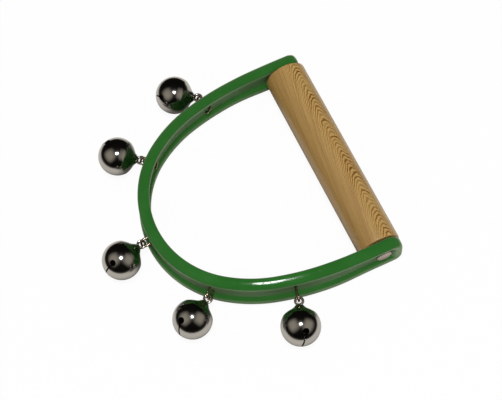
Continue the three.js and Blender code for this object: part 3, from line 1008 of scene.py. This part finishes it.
shell = shell_mesh()
eye = eye_mesh()
pellet = pellet_mesh()
for number, bell in enumerate(BELLS, 1):
    end = "_%d" % number
    neck = bell_placement(bell)
    ball = neck @ Matrix.Translation((0, BALL_AT, 0))
    slit_turn = Matrix.Rotation(math.radians(bell["slit"]), 4, "Y")
    drop = Matrix.Translation((0, 0, -PELLET_DROP))
    mesh = placed(shell, ball @ slit_turn, angle=35)
    piece("jingle_shell" + end, mesh, "bell" + end, "bell_metal", NICKEL, "bell_shell" + end)
    mesh = placed(eye, neck, angle=50)
    piece("neck_eye" + end, mesh, "bell" + end, "eye_wire", EYE_METAL, "bell_eye" + end)
    mesh = placed(pellet, ball @ drop, angle=50)
    piece("shot" + end, mesh, "pellet" + end, "pellet_steel", SHOT_STEEL, "bell_pellet" + end)


# Floor

FLOOR_HALF = 3
FLOOR_Z = -0.2 * MM
SHEET_HALF_WIDTH = 0.14
SHEET_HALF_LENGTH = 0.15
WARM_WHITE = (1, 0.95, 0.87)
ROOM_DARK = (0.02, 0.018, 0.015)
# Share of plain white that the eye sees, which leaves a soft shadow, and of warm white in reflections
SEEN_WHITE = 0.94
MIRRORED_WHITE = 0.6
# Reflections at a low angle pass from the sheet into the dim room between these weights
LOW_ANGLE_FROM = 0.62
LOW_ANGLE_TO = 0.86
# Shade of the sheet in reflections near the ring: how far off, how deep, and the open shares it runs between
SHADE_REACH = 18 * MM
SHADE_DEEPEST = 0.85
SHADE_FULL_AT = 0.62
SHADE_ENDS_AT = 0.93
# Shares of its half size at which the sheet starts to fade out and ends
SHEET_FADES_FROM = 0.85
SHEET_ENDS_AT = 1.1


def glow(tree, colour):
    """Even light of a colour."""
    return add(tree, "ShaderNodeEmission", {"Color": (*colour, 1), "Strength": 1.0}).outputs[0]


def floor_material():
    """Sheet that the eye sees white with a soft shadow, and reflections see warm white in a dim room."""
    material, tree, shader, where = new_material("white_table", {
        "Base Color": (0.95, 0.95, 0.95, 1), "Roughness": 0.6, "Specular IOR Level": 0.0,
    })
    ray = add(tree, "ShaderNodeLightPath").outputs
    clear = maths(tree, "MAXIMUM", ray["Is Camera Ray"], ray["Is Transmission Ray"])
    seen = maths(tree, "MULTIPLY", clear, SEEN_WHITE)
    plain = mix_shaders(tree, seen, shader.outputs[0], glow(tree, (1, 1, 1)))
    mirrored = maths(tree, "MULTIPLY", ray["Is Glossy Ray"], MIRRORED_WHITE)
    sheet = mix_shaders(tree, mirrored, plain, glow(tree, WARM_WHITE))
    facing = add(tree, "ShaderNodeLayerWeight", {"Blend": 0.5}).outputs["Facing"]
    low = map_range(tree, facing, LOW_ANGLE_FROM, LOW_ANGLE_TO, easing="SMOOTHSTEP")
    open_share = add(tree, "ShaderNodeAmbientOcclusion", {"Distance": SHADE_REACH}, samples=8).outputs["AO"]
    shade = map_range(tree, open_share, SHADE_FULL_AT, SHADE_ENDS_AT, SHADE_DEEPEST, 0.0)
    dim = maths(tree, "MAXIMUM", low, shade)
    apart = add(tree, "ShaderNodeSeparateXYZ", {0: where}).outputs
    for axis, size in (("X", SHEET_HALF_WIDTH), ("Y", SHEET_HALF_LENGTH)):
        away = maths(tree, "ABSOLUTE", apart[axis])
        past = map_range(tree, away, SHEET_FADES_FROM * size, SHEET_ENDS_AT * size, easing="SMOOTHSTEP")
        dim = maths(tree, "MAXIMUM", dim, past)
    beyond = maths(tree, "MULTIPLY", dim, ray["Is Glossy Ray"])
    table = mix_shaders(tree, beyond, sheet, glow(tree, ROOM_DARK))
    feed(tree, tree.nodes["Material Output"].inputs["Surface"], table)
    lay_out(tree)
    return material


floor_corners = [(x * FLOOR_HALF, y * FLOOR_HALF, 0) for x, y in ((-1, -1), (1, -1), (1, 1), (-1, 1))]
floor_mesh = mesh_from("floor", floor_corners, faces=[(0, 1, 2, 3)])
floor_mesh.materials.append(floor_material())
floor = scene_object("floor", floor_mesh)
floor.location = (0, 0, FLOOR_Z)


# Camera

PHOTO_WIDTH = 502
FOCAL_PIXELS = 1338.86
SENSOR_WIDTH = 36
TURN = math.radians(19.49)
ELEVATION = math.radians(65.05)
ROLL = math.radians(-5.85)
DISTANCE = 746.713 * MM
AIM = Vector((47.136 * MM, 20.532 * MM, 0))


def photo_camera():
    """Camera at the photo's viewing angle. Gives its right, up and back directions."""
    data = bpy.data.cameras.new("photo_camera")
    data.sensor_width = SENSOR_WIDTH
    data.lens = FOCAL_PIXELS * SENSOR_WIDTH / PHOTO_WIDTH
    data.clip_start = 0.01
    data.clip_end = 20
    made = scene_object("photo_camera", data)
    back = Vector((0, -math.cos(ELEVATION), math.sin(ELEVATION)))
    right = Vector((1, 0, 0))
    up = back.cross(right)
    rolled_right = right * math.cos(ROLL) + up * math.sin(ROLL)
    rolled_up = up * math.cos(ROLL) - right * math.sin(ROLL)
    unturn = Matrix.Rotation(-TURN, 3, "Z")
    axes = [unturn @ v for v in (rolled_right, rolled_up, back)]
    place = HANDLE_CENTRE + unturn @ (back * DISTANCE - AIM)
    made.matrix_world = Matrix.Translation(place) @ Matrix(axes).transposed().to_4x4()
    bpy.context.scene.camera = made
    return axes


camera_right, camera_up, camera_back = photo_camera()


# Light

LAMP_WHITE = (1, 0.93, 0.8)
LAMP_FULL_TO = 0.08
ROOM_LIT = (0.2, 0.2, 0.2)
ROOM_MIRRORED = (0.007, 0.0065, 0.006)
ROOM_SEEN = (1, 1, 1)


def soft_light(name, side, rise, distance, width, height, power, shape="RECTANGLE", colour=(1, 1, 1)):
    """Area light turned from the viewing direction by angles to the side and upwards, aimed at the ring."""
    data = bpy.data.lights.new(name, "AREA")
    data.shape = shape
    data.size = width
    data.size_y = height
    data.energy = power
    data.color = colour
    made = scene_object(name, data)
    direction = camera_back.copy()
    direction.rotate(Matrix.Rotation(math.radians(side), 3, camera_up))
    direction.rotate(Matrix.Rotation(-math.radians(rise), 3, camera_right))
    made.location = Vector((0, 0, HANDLE_RADIUS)) + direction * distance
    made.rotation_euler = direction.to_track_quat("Z", "Y").to_euler()
    return made


def fade_edges(light):
    """Light that is full in its middle and fades to nothing at its rim."""
    light.data.use_nodes = True
    tree = light.data.node_tree
    spot = add(tree, "ShaderNodeNewGeometry").outputs["Parametric"]
    across = add(tree, "ShaderNodeSeparateXYZ", {0: spot}).outputs
    sides = []
    for axis in ("X", "Y"):
        away = maths(tree, "ABSOLUTE", maths(tree, "SUBTRACT", across[axis], 0.5))
        sides.append(map_range(tree, away, LAMP_FULL_TO, 0.5, 1.0, 0.0, "SMOOTHSTEP"))
    feed(tree, tree.nodes["Emission"].inputs["Strength"], maths(tree, "MULTIPLY", *sides))
    lay_out(tree)


def room_world():
    """Soft even light on the ring, dim in reflections and white to the eye."""
    world = bpy.data.worlds.new("room")
    bpy.context.scene.world = world
    world.use_nodes = True
    tree = world.node_tree
    tree.nodes.clear()
    shades = []
    for colour in (ROOM_LIT, ROOM_MIRRORED, ROOM_SEEN):
        shades.append(add(tree, "ShaderNodeBackground", {"Color": (*colour, 1), "Strength": 1.0}).outputs[0])
    lit, dim, white = shades
    ray = add(tree, "ShaderNodeLightPath").outputs
    mirrored = mix_shaders(tree, ray["Is Glossy Ray"], lit, dim)
    seen = mix_shaders(tree, ray["Is Camera Ray"], mirrored, white)
    add(tree, "ShaderNodeOutputWorld", {"Surface": seen})
    lay_out(tree)


soft_light("key", side=-0.3, rise=16, distance=2.0, width=0.26, height=0.26, power=23.5, shape="DISK")
for name, side in (("left_box", -44), ("right_box", 44)):
    fade_edges(soft_light(name, side, rise=6, distance=0.9, width=1.7, height=1.5, power=3.75,
                          colour=LAMP_WHITE))
room_world()
bpy.context.scene.view_settings.view_transform = "Standard"
